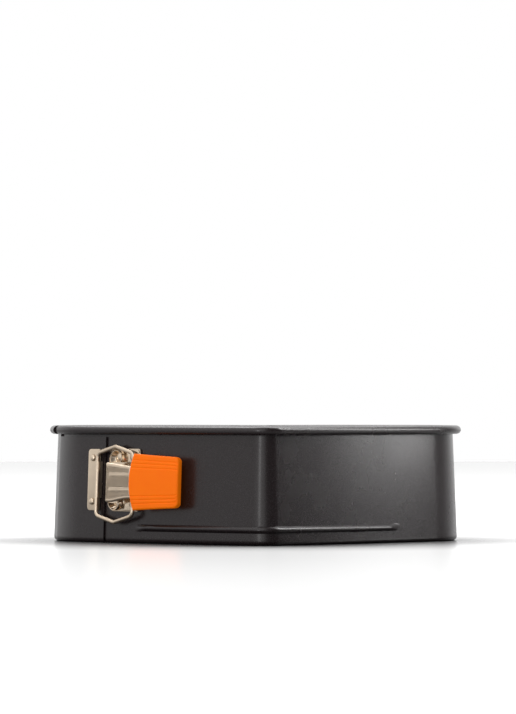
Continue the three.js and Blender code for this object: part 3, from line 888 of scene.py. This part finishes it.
# walks a wire section round the hexagon: straight runs are extruded, corners are spun
def makeWireLoop():
    bm = bmesh.new()
    part = loopSettings
    length, side, apex, radius = part["length"], part["sideHalf"], part["apexHalf"], part["corner"]
    middle = length / 2
    corners = [(0, -side), (middle, -apex), (length, -side), (length, side), (middle, apex), (0, side)]
    corners = [Vector((x, 0, z)) * mm for x, z in corners]
    bmesh.ops.create_circle(bm, segments=20, radius=part["wire"] * mm)
    section = bm.verts[:] + bm.edges[:]
    for index, corner in enumerate(corners):
        before, after = corners[index - 1], corners[(index + 1) % 6]
        inward, onward = (corner - before).normalized(), (after - corner).normalized()
        turn = inward.angle(onward)
        axis = inward.cross(onward).normalized()
        reach = radius * mm * math.tan(turn / 2)
        start = corner - inward * reach
        centre = start + axis.cross(inward) * radius * mm
        if index == 0:
            facing = Vector((0, 0, 1)).rotation_difference(inward).to_matrix()
            bmesh.ops.rotate(bm, cent=(0, 0, 0), matrix=facing, verts=bm.verts)
            bmesh.ops.translate(bm, vec=start, verts=bm.verts)
            at = start
        if (start - at).length > 0.01 * mm:
            grown = bmesh.ops.extrude_edge_only(bm, edges=edgesOf(section))["geom"]
            section = vertsOf(grown) + edgesOf(grown)
            bmesh.ops.translate(bm, vec=start - at, verts=vertsOf(section))
        done = bmesh.ops.spin(bm, geom=section, cent=centre, axis=axis, angle=turn, steps=7)
        section = done["geom_last"]
        at = corner + onward * reach
    moved = vertsOf(bmesh.ops.extrude_edge_only(bm, edges=edgesOf(section))["geom"])
    inward = (corners[0] - corners[5]).normalized()
    turn = inward.angle((corners[1] - corners[0]).normalized())
    back = corners[0] - inward * radius * mm * math.tan(turn / 2)
    bmesh.ops.translate(bm, vec=back - at, verts=moved)
    bmesh.ops.remove_doubles(bm, verts=bm.verts, dist=0.01 * mm)
    slope = math.atan2(part["legHeight"] - part["crank"][1], length)
    bmesh.ops.rotate(bm, cent=(0, 0, 0), matrix=Matrix.Rotation(slope, 3, "Z"), verts=bm.verts)
    bmesh.ops.translate(bm, vec=Vector((*part["crank"], -part["drop"])) * mm, verts=bm.verts)
    bmesh.ops.recalc_face_normals(bm, faces=bm.faces)
    return claspPiece("clasp_wire_loop", bm, nickel, 60)


hookSettings = {
    "lip": 32.0,
    "left": 43.8,
    "half": 18.4,
    "lipHalf": 11.0,
    "lipTop": 5.0,
    "bottom": 1.4,
    "sheet": 0.8,
    "rivets": [(39.6, 13.1), (39.6, -13.1)],
    "rivetHead": (2.0, 1.1),
}


def makeHookPlate():
    bm = bmesh.new()
    part = hookSettings
    lip, left, half, lipHalf = part["lip"], part["left"], part["half"], part["lipHalf"]
    top = part["bottom"] + part["sheet"]
    corners = [(lip, -lipHalf), (lip + 1.6, -lipHalf), (lip + 1.6, -half), (left, -half), (left, half),
               (lip + 1.6, half), (lip + 1.6, lipHalf), (lip, lipHalf)]
    pressPlate(bm, corners, part["bottom"], top, [(2.2, (3, 4)), (0.8, (2, 5))], 0.15)
    shape = [(lip, -lipHalf), (lip + part["sheet"], -lipHalf), (lip + part["sheet"], lipHalf), (lip, lipHalf)]
    pressPlate(bm, shape, part["bottom"] + 0.2, part["lipTop"], (), 0.2)
    bmesh.ops.recalc_face_normals(bm, faces=bm.faces)
    return claspPiece("clasp_hook", bm, nickel)


bracket = makeBracket()
leverPlate = makeLeverPlate()
leverPin = makeLeverPin()
grip = makeGrip()
wireLoop = makeWireLoop()
hookPlate = makeHookPlate()
bracketTop = bracketSettings["top"]
bracketRivets = [
    makeRivet("clasp_rivet_%d" % (i + 1), place, bracketTop + 0.25, *bracketSettings["rivetHead"], -1.05, 2.4)
    for i, place in enumerate(bracketSettings["rivets"])
]
hookTop = hookSettings["bottom"] + hookSettings["sheet"]
hookRivets = [
    makeRivet("hook_rivet_%d_head" % (i + 1), place, hookTop + 0.25, *hookSettings["rivetHead"], 0.4, 0)
    for i, place in enumerate(hookSettings["rivets"])
]
print("clasp made")

# what each piece moves with and stands for


def seat(piece, body, node, slot):
    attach(piece, body)
    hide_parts(node)


seat(baseTray, "base", "base_plate", "non_stick")
seat(ringMain, "ring_main", "band_main", "non_stick")
seat(wireMain, "ring_main", "rim_wire_main", "rim_steel")
for piece, node, slot in ((ringLeft, "band_left", "non_stick"), (wireLeft, "rim_wire_left", "rim_steel")):
    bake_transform(piece)
    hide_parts(node)
seat(bracket, "ring_main", "bracket", "nickel_plate")
for i, piece in enumerate(bracketRivets):
    seat(piece, "ring_main", "bracket_rivet_%d" % (i + 1), "nickel_plate")
seat(hookPlate, "ring_left", "hook_plate", "nickel_plate")
for i, piece in enumerate(hookRivets):
    seat(piece, "ring_left", "hook_rivet_%d" % (i + 1), "nickel_plate")
seat(leverPlate, "lever", "lever_plate", "nickel_plate")
seat(leverPin, "lever", "lever_pin", "nickel_plate")
seat(grip, "lever", "grip", "grip_rubber")
seat(wireLoop, "loop", "wire_loop", "nickel_plate")
print("pieces seated")

# floor, light and world

stageSettings = {
    "floorSize": 9.0,
    "floorTone": 0.86,
    "floorGloss": 0.24,
    "paintedShadow": [(0.5, 0.12), (0.66, 0.26), (0.8, 0.44), (0.93, 0.76), (1.0, 1.0)],  # openness, and the tone of the painted contact shadow
    "paintedShadowReach": 0.14,
    "paintedShadowSamples": 32,
    "floorBounce": 0.3,  # how much of the floor's tone the pan sees
    # size, place, aim and radiance
    "lights": {
        "right": ((0.11, 0.95), (0.78, 0.08, 0.56), (0.0, -0.03, 0.56), 12.3),
        "rightHigh": ((0.18, 0.24), (0.7, 0.08, 0.74), (0.05, -0.03, 0.07), 16),
        "front": ((0.18, 0.34), (-1.0, -1.75, 0.42), (0, 0, 0.05), 16),
        "behind": ((2.6, 2.0), (0.0, 1.3, 2.3), (0, 0, 0), 3.5),
    },
    # tone of the world from -X to +X
    "backSides": [(-1.0, 0.76), (-0.8, 1.02), (0.5, 1.1), (0.86, 0.3), (0.97, 0.06), (1.0, 0.06)],
    "frontSides": [(-1.0, 0.74), (-0.8, 1.15), (-0.15, 1.3), (0.2, 0.25), (0.6, 0.12), (1.0, 0.06)],
}


# pale and glossy at a low angle, with a painted contact shadow where the pan closes it in; its bounce on the
# pan is held back
def makeFloor():
    bm = bmesh.new()
    bmesh.ops.create_grid(bm, x_segments=1, y_segments=1, size=stageSettings["floorSize"] / 2)
    material, nodes, links, shader = newMaterial("paleFloor")
    seen = nodes.new("ShaderNodeLightPath")
    bounce, full = stageSettings["floorBounce"], stageSettings["floorTone"]
    tone = rangeNode(nodes, links, seen.outputs["Is Camera Ray"], bounce, full, 0, 1)
    openness = nodes.new("ShaderNodeAmbientOcclusion")
    openness.inputs["Distance"].default_value = stageSettings["paintedShadowReach"]
    openness.samples = stageSettings["paintedShadowSamples"]
    stops = [(at, (level,)) for at, level in stageSettings["paintedShadow"]]
    # painted shadow: colour and reflection tint darken with the occlusion near the pan
    paintedShadow = rampNode(nodes, links, openness.outputs["AO"], stops)
    shaded = nodes.new("ShaderNodeMath")
    shaded.operation = "MULTIPLY"
    links.new(tone, shaded.inputs[0])
    links.new(paintedShadow, shaded.inputs[1])
    links.new(shaded.outputs["Value"], shader.inputs["Base Color"])
    links.new(paintedShadow, shader.inputs["Specular Tint"])
    shader.inputs["Roughness"].default_value = stageSettings["floorGloss"]
    floor = newPiece("floor", bm, material)


def makeSoftLight(name, size, place, aim, radiance):
    data = bpy.data.lights.new(name, "AREA")
    data.shape = "RECTANGLE"
    data.size, data.size_y = size
    data.energy = radiance * math.pi * data.size * data.size_y
    lamp = bpy.data.objects.new(name, data)
    lamp.location = place
    lamp.rotation_euler = (Vector(aim) - Vector(place)).to_track_quat("-Z", "Y").to_euler()
    lamp.visible_camera = False
    bpy.context.scene.collection.objects.link(lamp)


# soft white all round, dimmer to the clasp side, with a dark flag in front of the right light
def makeWorld():
    world = bpy.data.worlds.new("studio")
    bpy.context.scene.world = world
    world.use_nodes = True
    nodes, links = world.node_tree.nodes, world.node_tree.links
    background = nodes["Background"]
    coordinates = nodes.new("ShaderNodeTexCoord")
    parts = nodes.new("ShaderNodeSeparateXYZ")
    links.new(coordinates.outputs["Generated"], parts.inputs["Vector"])
    across = rangeNode(nodes, links, parts.outputs["X"], 0.0, 1.0, -1.0, 1.0)
    top = 1.5  # a ramp holds tones up to 1
    levels = []
    for name in ("backSides", "frontSides"):
        stops = [((x + 1) / 2, (level / top,)) for x, level in stageSettings[name]]
        levels.append(rampNode(nodes, links, across, stops))
    front = rangeNode(nodes, links, parts.outputs["Y"], 1.0, 0.0, -0.2, 0.1)
    blended = nodes.new("ShaderNodeMix")
    links.new(front, blended.inputs[0])
    links.new(levels[0], blended.inputs[2])
    links.new(levels[1], blended.inputs[3])
    scaled = nodes.new("ShaderNodeMath")
    scaled.operation = "MULTIPLY"
    links.new(blended.outputs[0], scaled.inputs[0])
    scaled.inputs[1].default_value = top
    seen = nodes.new("ShaderNodeLightPath")
    white = nodes.new("ShaderNodeMix")
    links.new(seen.outputs["Is Camera Ray"], white.inputs[0])
    links.new(scaled.outputs[0], white.inputs[2])
    white.inputs[3].default_value = 1.0
    links.new(white.outputs[0], background.inputs["Strength"])
    background.inputs["Color"].default_value = (1, 1, 1, 1)


makeFloor()
for name, settings in stageSettings["lights"].items():
    makeSoftLight(name + "Light", *settings)
makeWorld()
bpy.context.scene.view_settings.view_transform = "Standard"
print("stage made")
